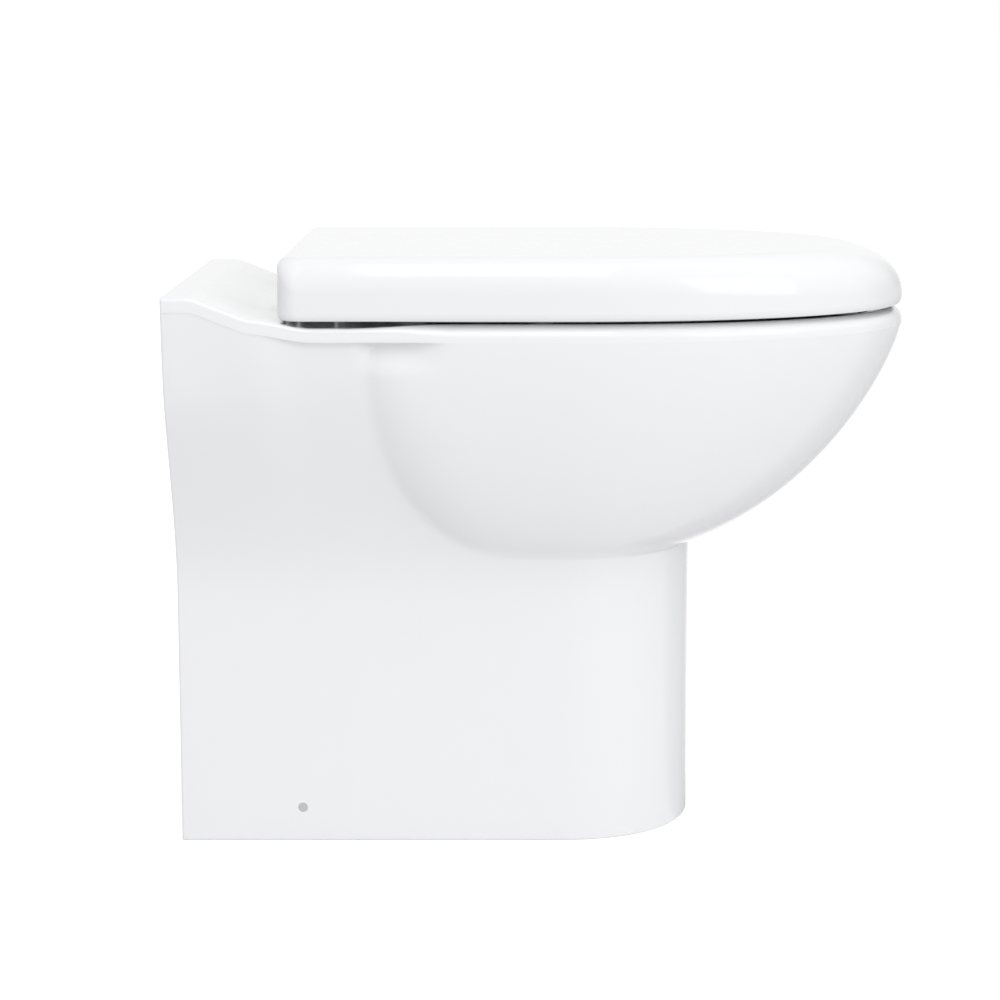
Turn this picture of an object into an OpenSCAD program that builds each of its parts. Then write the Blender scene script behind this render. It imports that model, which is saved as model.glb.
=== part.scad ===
/* [Pan] */
// Width of the rim and of the raised deck
pan_w = 360; // [340:1:390]
// Distance from the wall to the front of the rim
pan_len = 555; // [535:1:585]
// Height of the rim above the floor
rim_h = 400; // [390:1:430]
// Height of the raised deck above the rim
deck_rise = 22; // [14:1:22]
// Flat top of the raised deck, measured from the wall
deck_flat = 22; // [16:1:28]
// Depth of the rim flange
flange_h = 10.5; // [8:0.5:14]
// Width of the foot on the floor
foot_w = 220; // [200:1:240]
// Distance from the wall to the front of the foot
foot_len = 392; // [375:1:405]
// Wall thickness of the skirt
skirt_t = 11; // [8:0.5:13]
// Thickness of the china shelf under the hinges
shelf_t = 16; // [12:1:20]

/* [Bowl and trap] */
// Width of the bowl's mouth
mouth_w = 276; // [250:1:284]
// Distance from the wall to the back of the mouth
mouth_back = 168; // [164:1:176]
// Width of the rim in front of the mouth
mouth_rim = 42; // [36:1:50]
// Wall thickness of the bowl
bowl_t = 10; // [8:0.5:12]
// Height of the bottom of the bowl's sump
sump_z = 150; // [140:1:160]
// Bore of the trapway
trap_bore = 72; // [64:1:76]
// Wall thickness of the trapway
trap_t = 9; // [7:0.5:10]

/* [Connections] */
// Height of the flush inlet's centre
inlet_z = 347; // [345:1:350]
// Bore of the flush inlet socket
inlet_bore = 55; // [50:0.5:60]
// Depth of the flush inlet socket
inlet_depth = 50; // [40:1:60]
// Bore of the flush channel into the bowl
channel_bore = 40; // [30:1:46]
// Height of the waste outlet's centre
outlet_z = 185; // [180:1:190]
// Outside diameter of the outlet spigot
spigot_d = 102; // [98:0.5:106]
// Bore of the outlet spigot
spigot_bore = 86; // [82:0.5:88]
// Distance that the inlet and the spigot stay back from the wall
pipe_set_back = 14; // [10:1:20]

/* [Seat and lid] */
// Height of the lid's top above the rim
lid_top = 50; // [49:0.5:54]
// Gap between the rim and the lid's lower edge
lid_gap = 5; // [4:0.5:7]
// Wall thickness of the lid
lid_t = 4; // [3:0.5:5]
// Distance from the wall to the lid's rear face
lid_back = 83; // [80:1:86]
// Thickness of the seat ring
ring_t = 24; // [20:1:26]
// Gap between the rim and the ring's underside
ring_gap = 4; // [3:0.5:5]
// Clearance between the ring and the lid's wall
ring_clear = 3.5; // [2.5:0.5:6]
// Clearance between the ring's front and the lid's wall, which leans in above it
ring_front_clear = 7.5; // [6.5:0.5:12]
// Gap between the ring's rear edge and the lid's swinging rear wall
ring_rear_gap = 3.2; // [2:0.2:6]
// Width of the ring in front of its opening
ring_bow = 46; // [40:1:56]
// Width of the ring's opening
hole_w = 210; // [190:1:230]
// Length of the ring's opening
hole_len = 305; // [280:1:320]

/* [Hinges] */
// Distance between the two hinge fixing holes
fixing_pitch = 155; // [140:1:165]
// Distance from the wall to the fixing holes
fixing_back = 125; // [121:1:127]
// Diameter of the fixing holes
fixing_hole = 15; // [13:0.5:17]
// Distance from the lid's rear face to the hinge pins
pin_inset = 15; // [14:0.5:16]
// Diameter of the hinge pins
pin_d = 8; // [6:0.5:8.5]
// Radial running clearance on a hinge pin
pin_clear = 0.05; // [0.03:0.01:0.1]
// Width of a hinge lug
lug_w = 19.5; // [16:0.5:22]
// Diameter of a hinge lug
lug_d = 15; // [14:0.5:16]
// Clearance between the hinge lugs and the underside of the lid
lug_clear = 1; // [0.6:0.1:2]
// Diameter of a soft-close damper
damper_d = 11.6; // [11:0.1:12.4]
// Diameter of a hinge base plate
plate_d = 36; // [32:1:38]
// Clearance between a hinge base plate and the ring above it
plate_clear = 0.6; // [0.4:0.1:1.2]
// Thickness of the gasket under a hinge base plate
gasket_t = 1; // [0.5:0.1:1.4]
// Diameter of a hinge bolt
bolt_d = 8; // [6:0.5:8]

/* [Floor fixings] */
// Distance from the wall to the side screws
bracket_back = 92.5; // [80:0.5:110]
// Height of the side screws above the floor
screw_z = 26; // [24:1:34]
// Diameter of the counterbore for a side screw's cap
cap_bore = 6.8; // [6.2:0.1:9]
// Length of a floor bracket along the skirt
bracket_len = 44; // [38:1:60]
// Distance between the left and right floor holes
floor_pitch_x = 130; // [122:1:136]
// Distance between the front and rear floor holes of a bracket
floor_pitch_y = 24; // [20:1:28]
// Diameter of the floor holes
floor_hole = 7; // [5:0.5:8]

/* [Hidden] */
china = "whitesmoke";
seat_white = "white";
rubber = "dimgray";
steel = "silver";
plastic = "gainsboro";

// A d is a distance from the wall. The origin is under the middle of the whole object.
wall_y = pan_len / 2;
touch = 0.3;
// How far a cutting shape reaches past the face that it opens
over = 1;
half_w = pan_w / 2;
foot_half = foot_w / 2;
// Where the straight sides end and the round front begins
mid_d = 288;
roundness = 2.2;
foot_round = foot_len - mid_d;
rim_round = pan_len - mid_d;
flange_z = rim_h - flange_h;

// The sides swell from the foot to the rim between these heights
swell_rise = 210;
swell_low = rim_h - swell_rise;
flange_step = 4;
flange_start = 66;
flange_full = 105;
// The deck runs down to the rim in a steep ramp and a gentle one, and is flat under the hinges
ramp_end = 62;
ledge_rise = 6.5;
ledge_end = fixing_back - plate_d / 2 + 1;
lift_rise = 60;
lift_low = rim_h - lift_rise;
// The belly of the bowl stands out from the sides and the foot
belly_top = rim_h - 8;
belly_drop = 181;
belly_low = belly_top - belly_drop;
belly_core_d = 325;
belly_core_w = 83;
crease_back = 148;
crease_front = 265;
crease_top = rim_h - 20;
crease_drop = 160;
crease_soft = 4.5;
belly_run_top = 45;
belly_run_low = 110;
belly_run_drop = 80;

lid_z = rim_h + lid_top;
lid_low = rim_h + lid_gap;
lid_inner_z = lid_z - lid_t;
pin_z = lid_inner_z - lug_clear - lug_d / 2;
pin_back = lid_back + pin_inset;
// Radius that the lower edge of the lid's rear wall swings on
lid_swing = norm([pin_inset, pin_z - lid_low]);
ring_low = rim_h + ring_gap;
ring_z = ring_low + ring_t;
ring_half = half_w - lid_t - ring_clear;
ring_front = pan_len - lid_t - ring_front_clear;
ring_back = pin_back + lid_swing + ring_rear_gap;
ring_web = 10;
groove_z = ring_z - ring_web;
hole_mid = ring_front - ring_bow - hole_len / 2;
fixing_x = fixing_pitch / 2;
shelf_low = rim_h - shelf_t;

function soft(t) = let(c = min(max(t, 0), 1)) c * c * (3 - 2 * c);
function above(v, k) = v > k ? v : v < -k ? 0 : (v + k) * (v + k) / (4 * k);
// Radius of a superellipse with half axes a and b in the direction of an angle
function round_r(a, b, angle, n) =
    pow(pow(abs(cos(angle)) / a, n) + pow(abs(sin(angle)) / b, n), -1 / n);

// Height of the deck over the rim at a distance from the wall
function deck_lift(d) =
    (deck_rise - ledge_rise) * (1 - min(max((d - deck_flat) / (ramp_end - deck_flat), 0), 1))
    + ledge_rise * (1 - soft((d - ramp_end) / (ledge_end - ramp_end)));
function lifted(z, d) = z + deck_lift(d) * soft((z - lift_low) / (flange_z - lift_low));

function side_top(d) = half_w - flange_step * soft((d - flange_start) / (flange_full - flange_start));
function side_half(z, d) =
    foot_half + (side_top(d) - foot_half) * soft((z - swell_low) / (rim_h - swell_low));
function belly(z) =
    pow(max(1 - pow(max(belly_top - z, 0) / belly_drop, 1.32), 0), 1 / 2.18);
function belly_half(z) = belly_core_w + (half_w - belly_core_w) * belly(z);
function belly_front(z) = belly_core_d + (pan_len - belly_core_d) * belly(z);
function crease_d(z) =
    let(t = min(max((crease_top - z) / crease_drop, 0), 1))
    crease_front - (crease_front - crease_back) * pow(1 - pow(t, roundness), 1 / roundness);
function belly_run(z) =
    belly_run_top + (belly_run_low - belly_run_top) * soft((crease_top - z) / belly_run_drop);
function belly_share(z, d) =
    let(t = (d - crease_d(z)) / belly_run(z), u = min(above(t, 0.12), 1))
    1 - (1 - u) * (1 - u);
function skin_half(z, d) =
    let(w = side_half(z, d))
    z >= flange_z ? half_w
    : min(w + above(belly_half(z) - w, crease_soft) * belly_share(z, d), half_w);
function skin_r(z, angle) =
    z >= flange_z ? round_r(half_w, rim_round, angle, roundness)
    : let(
        foot = round_r(side_half(z, mid_d), foot_round, angle, roundness),
        bulge = round_r(belly_half(z), belly_front(z) - mid_d, angle, roundness)
    )
    min(foot + above(bulge - foot, crease_soft), round_r(half_w, rim_round, angle, roundness));

// Distances from the wall at which the sides are drawn, with every bend of the deck among them
side_steps = concat(
    [0, deck_flat, (deck_flat + ramp_end) / 2],
    [for (i = [0:3]) ramp_end + (ledge_end - ramp_end) * i / 3],
    [(ledge_end + crease_back) / 2],
    [for (i = [0:6]) crease_back + (mid_d - crease_back) * pow(i / 6, 1.3)]
);
arc_parts = 13;
arc_steps = [for (i = [1:arc_parts]) let(s = 90 * i / arc_parts) atan2(rim_round * sin(s), half_w * cos(s))];

// A loop from the left rear corner round the front to the right rear corner, from its left half
function both_sides(half) = concat(
    [for (p = half) [-p[0], -p[1], p[2]]],
    [for (i = [len(half) - 2:-1:0]) [half[i][0], -half[i][1], half[i][2]]]
);
function skin_loop(z, inset) = both_sides(concat(
    [for (d = side_steps) [skin_half(z, d) - inset, d, lifted(z, d)]],
    [for (a = arc_steps) let(r = skin_r(z, a) - inset) [r * cos(a), mid_d + r * sin(a), z]]
));
function cavity_loop(z, drop) = both_sides(concat(
    [for (d = side_steps) [skin_half(z, d) - skirt_t, d == 0 ? -over : d, lifted(z, d) - drop]],
    [for (a = arc_steps) let(r = skin_r(z, a) - skirt_t) [r * cos(a), mid_d + r * sin(a), z - drop]]
));

function loft_sides(m, n) = [
    for (k = [0:n - 2], i = [0:m - 1])
        let(a = k * m + i, b = k * m + (i + 1) % m)
        each [[a, a + m, b + m], [a, b + m, b]]
];
// A cap in strips from the left half of a loop to its right half
function strip_cap(m, first) =
    let(h = (m - 1) / 2)
    concat(
        [for (j = [0:h - 2]) each [
            [first + j, first + j + 1, first + m - 2 - j],
            [first + j, first + m - 2 - j, first + m - 1 - j]
        ]],
        [[first + h - 1, first + h, first + h + 1]]
    );
function turned(faces) = [for (f = faces) [f[2], f[1], f[0]]];
module sided_loft(loops) {
    m = len(loops[0]);
    n = len(loops);
    polyhedron(
        points = [for (l = loops) each l],
        faces = concat(loft_sides(m, n), strip_cap(m, 0), turned(strip_cap(m, (n - 1) * m)))
    );
}
module round_loft(loops) {
    m = len(loops[0]);
    n = len(loops);
    polyhedron(
        points = [for (l = loops) each l],
        faces = concat(
            loft_sides(m, n), [[for (i = [0:m - 1]) i]], [[for (i = [m - 1:-1:0]) (n - 1) * m + i]]
        )
    );
}
module from_wall() {
    translate([0, wall_y, 0]) children();
}
// A solid disc between two distances from the wall
module wall_cylinder(d_from, d_to, z, r) {
    translate([0, -d_from, z]) rotate([90, 0, 0]) cylinder(h = d_to - d_from, r = r, $fn = 64);
}
// A solid along X between two places, round an axis at a distance from the wall
module cross_cylinder(x_from, x_to, d, z, r) {
    translate([x_from, -d, z]) rotate([0, 90, 0]) cylinder(h = x_to - x_from, r = r, $fn = 48);
}
module mirrored(side) {
    mirror([side < 0 ? 1 : 0, 0, 0]) children();
}

// Heights between the foot and the flange, closest together where the belly starts
belly_parts = 17;
skin_levels = concat(
    [for (share = [0, 0.32, 0.63, 0.87, 1]) swell_low * share],
    [for (i = [0:belly_parts]) belly_low + over + (flange_z - 4 - belly_low) * pow(i / belly_parts, 1.4)],
    [flange_z - 0.5]
);
// The rim's rounded edge, as depths below the rim and distances in from the side
rim_edge = [[flange_h, 0], [5.5, 0], [2.4, 1.4], [0.7, 3.6], [0, 6.5]];
module pan_outside() {
    sided_loft(concat(
        [for (z = skin_levels) skin_loop(z, 0)],
        [for (e = rim_edge) skin_loop(rim_h - e[0], e[1])]
    ));
}
// The skirt is hollow up to the shelf
cavity_top = flange_z - 1;
cavity_ramp = 60;
cavity_parts = 8;
module pan_inside() {
    sided_loft(concat(
        [cavity_loop(0, over), cavity_loop(swell_low, 0)],
        [for (i = [0:cavity_parts])
            let(z = belly_low + 8 + (cavity_top - belly_low - 8) * pow(i / cavity_parts, 1.2))
            cavity_loop(z, soft(1 - (cavity_top - z) / cavity_ramp) * (cavity_top - shelf_low))]
    ));
}

// The bowl narrows and moves back as it goes down from its mouth to the sump
mouth_front = pan_len - mouth_rim;
// The trapway goes from the sump round a dip, over a weir and down to the spigot
trap_r = trap_bore / 2 + trap_t;
dip_drop = 56;
weir_rise = 31;
weir_fall = 40;
dip_r = trap_r + 1.5;
weir_r = trap_r + 3;
spigot_len = 56;
spigot_in = pipe_set_back + spigot_len;
spigot_clear = spigot_in - 10;
trap_end = spigot_clear - 4;
weir_d = trap_end + 2 * weir_r * sin(weir_fall);
trap_in = weir_d + weir_r + 2 * dip_r;
weir_mid = [weir_d, outlet_z + weir_rise - weir_r];
dip_mid = [trap_in - dip_r, sump_z - dip_drop + dip_r];
trap_route = concat(
    [[trap_in, sump_z + 26], [trap_in, sump_z - 2]],
    [for (a = [0:22.5:180]) dip_mid + dip_r * [cos(a), -sin(a)]],
    [for (i = [0:7]) let(a = (90 + weir_fall) * i / 7) weir_mid + weir_r * [cos(a), sin(a)]],
    [for (i = [2:-1:0])
        let(a = weir_fall * i / 3)
        [trap_end, weir_mid[1] + weir_r * (2 * cos(weir_fall) - 1)] + weir_r * [sin(a), 1 - cos(a)]]
);
trap_sides = 20;
sump_half = trap_bore / 2;
sump_front = trap_in + trap_bore / 2 - 3;
sump_back = trap_in - trap_bore / 2 - 3;
bowl_parts = 40;
function bowl_open(z) =
    let(t = min(max((rim_h - z) / (rim_h - sump_z), 0), 1)) pow(1 - pow(t, 1.4), 1 / 1.4);
function bowl_loop(z, at_z, grow) =
    let(
        f = sump_front + (mouth_front - sump_front) * pow(bowl_open(z), 1.25) + grow,
        t = min(max((rim_h - z) / (rim_h - sump_z), 0), 1),
        b = mouth_back + (sump_back - mouth_back) * t * t - grow,
        w = sump_half + (mouth_w / 2 - sump_half) * bowl_open(z) + grow
    )
    [for (i = [0:bowl_parts - 1])
        let(a = -360 * i / bowl_parts, r = round_r(w, (f - b) / 2, a, roundness))
        [r * cos(a), -(f + b) / 2 - r * sin(a), at_z]];
bowl_levels = [for (t = [1, 0.97, 0.92, 0.84, 0.74, 0.62, 0.5, 0.38, 0.26, 0.15, 0.07, 0.02])
    rim_h - (rim_h - sump_z) * t];
module bowl_hollow() {
    round_loft(concat(
        [for (z = bowl_levels) bowl_loop(z, z, 0)],
        [bowl_loop(rim_h, rim_h - 2, 0.6), bowl_loop(rim_h, rim_h + over, 5)]
    ));
}
module bowl_shell() {
    round_loft(concat(
        [bowl_loop(sump_z, sump_z - bowl_t, bowl_t / 2)],
        [for (i = [1:2:len(bowl_levels) - 1]) bowl_loop(bowl_levels[i], bowl_levels[i] - bowl_t / 2, bowl_t)],
        [bowl_loop(rim_h, shelf_low + 2, bowl_t)]
    ));
}

function trap_ring(i, r) =
    let(
        n = len(trap_route) - 1,
        p = trap_route[i],
        a = trap_route[max(i - 1, 0)],
        b = trap_route[min(i + 1, n)],
        t = (b - a) / norm(b - a)
    )
    [for (k = [0:trap_sides - 1])
        let(c = 360 * (k + 0.5) / trap_sides, u = r * cos(c))
        [r * sin(c), -(p[0] + t[1] * u), p[1] - t[0] * u]];
module trap_tube(r, first) {
    round_loft([for (i = [first:len(trap_route) - 1]) trap_ring(i, r)]);
}
// The spigot laps over a collar at the end of the trapway
spigot_lap = 2;
horn_t = 10.5;
channel_over = 30;
horn_r = inlet_bore / 2 + horn_t;
// The horn is moulded by itself and stuck to a stub on the bowl's back
stub_end = pipe_set_back + inlet_depth;
// The foot and the trap's bend are drawn apart from the rest of the casting, under a level plane
foot_h = sump_z - bowl_t - 1;
module under_sump() {
    translate([-half_w, -pan_len, -over]) cube([pan_w, pan_len + over, foot_h + over]);
}
module pan_casting() {
    difference() {
        union() {
            difference() {
                pan_outside();
                pan_inside();
                under_sump();
            }
            intersection() {
                pan_outside();
                bowl_shell();
            }
            difference() {
                trap_tube(trap_r, 1);
                translate([-half_w, -spigot_clear - spigot_lap - over, outlet_z - trap_r])
                    cube([pan_w, spigot_clear, 3 * trap_r]);
                under_sump();
            }
            wall_cylinder(spigot_clear, spigot_in, outlet_z, spigot_d / 2 - over);
            wall_cylinder(stub_end, mouth_back + 4, inlet_z, horn_r);
        }
        bowl_hollow();
        trap_tube(trap_bore / 2, 0);
    }
}
inner_x = foot_half - skirt_t;
cap_depth = 5;
shoulder_x = foot_half - cap_depth;
shank_hole = 2.6;
module pan() {
    color(china) from_wall() difference() {
        union() {
            resize([pan_w, 0, 0]) pan_casting();
            difference() {
                wall_cylinder(pipe_set_back, spigot_clear + spigot_lap, outlet_z, spigot_d / 2);
                wall_cylinder(0, spigot_clear + spigot_lap + over, outlet_z, spigot_bore / 2);
            }
        }
        wall_cylinder(pipe_set_back, mouth_back + channel_over, inlet_z, channel_bore / 2);
        for (side = [-1, 1])
            translate([side * fixing_x, -fixing_back, shelf_low - over])
                cylinder(h = shelf_t + 2 * over, r = fixing_hole / 2, $fn = 48);
    }
}
module foot() {
    color(china) from_wall() difference() {
        resize([foot_w, 0, 0]) intersection() {
            difference() {
                pan_outside();
                pan_inside();
            }
            under_sump();
        }
        for (side = [-1, 1]) mirrored(side) {
            cross_cylinder(shoulder_x, foot_half + over, bracket_back, screw_z, cap_bore / 2);
            cross_cylinder(inner_x - over, shoulder_x + over, bracket_back, screw_z, shank_hole);
        }
    }
}
module trap_bend() {
    color(china) from_wall() intersection() {
        difference() {
            trap_tube(trap_r, 1);
            trap_tube(trap_bore / 2, 0);
        }
        under_sump();
    }
}
module inlet_horn() {
    color(china) from_wall() difference() {
        wall_cylinder(pipe_set_back, stub_end, inlet_z, horn_r);
        wall_cylinder(0, stub_end + over, inlet_z, inlet_bore / 2);
    }
}

// The seat ring is a band with a hollow underside, drawn round its middle
ring_parts = 60;
corner_n = 9;
function ring_outer(angle) =
    let(
        front = sin(angle) >= 0,
        reach = front ? ring_front - mid_d : mid_d - ring_back,
        r = round_r(ring_half, reach, angle, front ? roundness : corner_n)
    )
    [r * cos(angle), mid_d + r * sin(angle)];
function ring_inner(angle) =
    let(r = round_r(hole_w / 2, hole_len / 2, angle, roundness))
    [r * cos(angle), hole_mid + r * sin(angle)];
function ring_point(angle, share) = ring_outer(angle) * (1 - share) + ring_inner(angle) * share;
// Shares of the way from the outer edge to the opening, and heights
ring_dish = 1;
ring_profile = [
    [0, ring_low], [0, ring_z - 9], [0.03, ring_z - 4], [0.08, ring_z - 1.2], [0.16, ring_z],
    [0.5, ring_z - ring_dish], [0.82, ring_z - 4.5], [0.94, ring_z - 8], [1, ring_z - 14], [1, ring_low],
    [0.86, ring_low], [0.84, groove_z], [0.14, groove_z], [0.12, ring_low]
];
module ring_band() {
    m = len(ring_profile);
    polyhedron(
        points = [for (i = [0:ring_parts - 1], q = ring_profile)
            let(p = ring_point(360 * i / ring_parts, q[0])) [p[0], -p[1], q[1]]],
        faces = [for (i = [0:ring_parts - 1], k = [0:m - 1])
            let(
                a = i * m + k,
                b = i * m + (k + 1) % m,
                c = ((i + 1) % ring_parts) * m + k,
                d = ((i + 1) % ring_parts) * m + (k + 1) % m
            )
            each [[a, d, b], [a, c, d]]]
    );
}

// Along X from the middle: lid lug, post, ring lug, with a side gap between them
side_gap = 0.5;
post_w = 15;
post_x = fixing_x - post_w / 2;
lid_lug_x = post_x - side_gap - lug_w;
ring_lug_x = post_x + post_w + side_gap;
pin_out = ring_lug_x + lug_w + over;
pin_r = pin_d / 2;
// Where the ring's arms run into the ring
arm_root = 8;
module ring_arm() {
    hull() {
        cross_cylinder(ring_lug_x, ring_lug_x + lug_w, pin_back, pin_z, lug_d / 2);
        translate([ring_lug_x, -ring_back - 2 * arm_root, groove_z - 2])
            cube([lug_w, arm_root, ring_z - groove_z - 1]);
    }
}
module seat_ring() {
    color(seat_white) from_wall() difference() {
        resize([2 * ring_half, 0, 0]) union() {
            ring_band();
            for (side = [-1, 1]) mirrored(side) ring_arm();
        }
        cross_cylinder(-pin_out, -ring_lug_x + over, pin_back, pin_z, pin_r + pin_clear);
        cross_cylinder(ring_lug_x - over, pin_out, pin_back, pin_z, damper_d / 2);
    }
}

// The lid's edge is round: little at the rear, more at the sides and most at the front
lid_corner = 14;
lid_side_steps = [for (i = [0:8]) lid_back + lid_corner + (mid_d - lid_back - lid_corner) * i / 8];
lid_corner_steps = [0, 30, 60];
edge_in = [6, 18, 50];
edge_down = [8, 18, 38];
// Left half of the lid's plan at a share of the way over the round edge
function lid_loop(cut, over_edge, z_cut) =
    let(
        c = 1 - cos(90 * over_edge),
        s = 1 - sin(90 * over_edge),
        half = half_w - cut,
        kx = 1 - edge_in[1] * c / half,
        kr = 1 - edge_in[0] * c / (mid_d - lid_back - cut),
        kf = 1 - edge_in[2] * c / (rim_round - cut),
        top = lid_z - z_cut
    )
    both_sides(concat(
        [for (a = lid_corner_steps)
            let(
                x = half - lid_corner * (1 - sin(a)),
                d = lid_back + cut + lid_corner * (1 - cos(a)),
                down = edge_down[0] + (edge_down[1] - edge_down[0]) * a / 90
            )
            [x * kx, mid_d - (mid_d - d) * kr, top - s * down]],
        [for (d = lid_side_steps)
            [half * kx, mid_d - (mid_d - max(d, lid_back + cut + lid_corner)) * kr, top - s * edge_down[1]]],
        [for (i = [1:arc_parts])
            let(
                a = arc_steps[i - 1],
                u = 90 * i / arc_parts,
                r = round_r(half, rim_round - cut, a, roundness)
            )
            [r * cos(a) * kx, mid_d + r * sin(a) * kf,
                top - s * (edge_down[1] + (edge_down[2] - edge_down[1]) * sin(u) * sin(u))]]
    ));
function lid_flat(cut, z) = [for (p = lid_loop(cut, 0, 0)) [p[0], p[1], z]];
edge_shares = [0, 0.18, 0.36, 0.54, 0.72, 0.88, 1];
module lid_outside() {
    sided_loft(concat(
        [lid_flat(2.4, lid_low), lid_flat(0.7, lid_low + 1.2), lid_flat(0, lid_low + 3.5)],
        [for (e = edge_shares) lid_loop(0, e, 0)]
    ));
}
module lid_inside() {
    sided_loft(concat(
        [lid_flat(lid_t, lid_low - over)],
        [for (e = [0, 0.25, 0.5, 0.75, 1]) lid_loop(lid_t, e, lid_t)]
    ));
}
// The rear wall is notched for the hinge posts and the ring's arms
notch_gap = 1.5;
notch_in = post_x - notch_gap;
notch_w = ring_lug_x + lug_w + notch_gap - notch_in;
lug_foot = 18;
module lid_lug() {
    hull() {
        cross_cylinder(lid_lug_x, lid_lug_x + lug_w, pin_back, pin_z, lug_d / 2);
        translate([lid_lug_x, -pin_back - lug_foot / 2, lid_inner_z - 0.5]) cube([lug_w, lug_foot, 1.5]);
    }
}
module lid() {
    color(seat_white) from_wall() difference() {
        resize([pan_w, 0, 0]) union() {
            difference() {
                lid_outside();
                lid_inside();
                for (side = [-1, 1]) mirrored(side)
                    translate([notch_in, -lid_back - lid_t - edge_in[0] - over, lid_low - over])
                        cube([notch_w, lid_t + edge_in[0] + 2 * over, lid_inner_z - lid_low + over]);
            }
            for (side = [-1, 1]) mirrored(side) lid_lug();
        }
        cross_cylinder(-post_x - over, -lid_lug_x + over, pin_back, pin_z, damper_d / 2);
        cross_cylinder(lid_lug_x - over, post_x + over, pin_back, pin_z, pin_r + pin_clear);
    }
}

module damper(x_from) {
    color(plastic) from_wall() difference() {
        cross_cylinder(x_from, x_from + lug_w, pin_back, pin_z, damper_d / 2);
        cross_cylinder(x_from - over, x_from + lug_w + over, pin_back, pin_z, pin_r + pin_clear);
    }
}
module lid_damper() { damper(-lid_lug_x - lug_w); }
module ring_damper() { damper(ring_lug_x); }

// A buffer stands on the rim and plugs into the ring's hollow underside
buffer_r = 7;
buffer_foot_r = 9;
module ring_buffers(angle) {
    p = ring_point(angle, 0.3);
    for (side = [-1, 1]) translate([side * p[0], -p[1], 0]) {
        translate([0, 0, rim_h + touch]) cylinder(h = ring_gap - touch, r = buffer_foot_r, $fn = 40);
        translate([0, 0, ring_low]) cylinder(h = groove_z - ring_low, r = buffer_r, $fn = 40);
    }
}
module ring_buffers_front() { color(rubber) from_wall() ring_buffers(68); }
module ring_buffers_rear() { color(rubber) from_wall() ring_buffers(-12); }
lid_buffer_r = 6;
lid_buffer_low = ring_z - ring_dish / 2 + touch;
module lid_buffers() {
    color(rubber) from_wall()
        for (angle = [35, -35], side = [-1, 1])
            let(p = ring_point(angle, 0.5))
            translate([side * p[0], -p[1], lid_buffer_low])
                cylinder(h = lid_inner_z - lid_buffer_low, r = lid_buffer_r, $fn = 36);
}

plate_t = ring_gap - gasket_t - plate_clear;
plate_edge = 0.8;
post_low = rim_h + gasket_t + plate_t;
neck_r = 7;
arm_w = 12;
arm_h = 11;
bolt_r = bolt_d / 2;
bolt_in_post = 9;
bolt_under = 50;
bolt_low = rim_h - bolt_under;
module at_fixing(side, z) {
    from_wall() translate([side * fixing_x, -fixing_back, z]) children();
}
module hinge_gasket(side) {
    color(rubber) at_fixing(side, rim_h) difference() {
        cylinder(h = gasket_t, r = plate_d / 2 - 1, $fn = 64);
        translate([0, 0, -over]) cylinder(h = gasket_t + 2 * over, r = bolt_r + 0.2, $fn = 48);
    }
}
module hinge_plate(side) {
    color(steel) at_fixing(side, rim_h + gasket_t) difference() {
        union() {
            cylinder(h = plate_t - plate_edge, r = plate_d / 2, $fn = 64);
            translate([0, 0, plate_t - plate_edge])
                cylinder(h = plate_edge, r1 = plate_d / 2, r2 = plate_d / 2 - plate_edge, $fn = 64);
        }
        translate([0, 0, -over]) cylinder(h = plate_t + 2 * over, r = bolt_r + 0.1, $fn = 48);
    }
}
module hinge_post(side) {
    color(steel) from_wall() mirrored(side) difference() {
        union() {
            translate([fixing_x, -fixing_back, post_low])
                cylinder(h = pin_z - post_low + arm_h / 2, r = neck_r, $fn = 48);
            translate([fixing_x - arm_w / 2, -fixing_back, pin_z - arm_h / 2])
                cube([arm_w, fixing_back - pin_back, arm_h]);
            cross_cylinder(post_x, post_x + post_w, pin_back, pin_z, lug_d / 2);
        }
        cross_cylinder(post_x - over, post_x + post_w + over, pin_back, pin_z, pin_r);
        translate([fixing_x, -fixing_back, post_low - over])
            cylinder(h = bolt_in_post + over, r = bolt_r, $fn = 48);
    }
}
module hinge_pin(side) {
    color(steel) from_wall() mirrored(side)
        cross_cylinder(lid_lug_x - 0.5, pin_out - 0.5, pin_back, pin_z, pin_r);
}
module hinge_bolt(side) {
    color(steel) at_fixing(side, bolt_low)
        cylinder(h = post_low + bolt_in_post - bolt_low, r = bolt_r, $fn = 48);
}
bush_plug = 8;
bush_t = 5;
bush_r = 15;
module fixing_bush(side) {
    color(rubber) at_fixing(side, shelf_low) difference() {
        union() {
            cylinder(h = bush_plug, r = fixing_hole / 2 - 0.2, $fn = 48);
            translate([0, 0, -bush_t]) cylinder(h = bush_t, r = bush_r, $fn = 48);
        }
        translate([0, 0, -bush_t - over])
            cylinder(h = bush_t + bush_plug + 2 * over, r = bolt_r + 0.1, $fn = 48);
    }
}
washer_t = 2;
module fixing_washers() {
    for (side = [-1, 1]) color(steel) at_fixing(side, shelf_low - bush_t - washer_t) difference() {
        cylinder(h = washer_t, r = bush_r - 2, $fn = 48);
        translate([0, 0, -over]) cylinder(h = washer_t + 2 * over, r = bolt_r + 0.2, $fn = 48);
    }
}
nut_h = 12;
nut_r = 8;
wing_span = 42;
wing_t = 4;
wing_drop = 6;
wing_step = 4;
module wing_nut(side) {
    color(plastic) at_fixing(side, shelf_low - bush_t - washer_t - nut_h) difference() {
        union() {
            cylinder(h = nut_h, r = nut_r, $fn = 48);
            translate([-wing_span / 2, -wing_t / 2, -wing_drop])
                cube([wing_span, wing_t, nut_h + wing_drop - wing_step]);
        }
        translate([0, 0, -wing_drop - over]) cylinder(h = nut_h + wing_drop + 2 * over, r = bolt_r, $fn = 48);
    }
}

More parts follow.
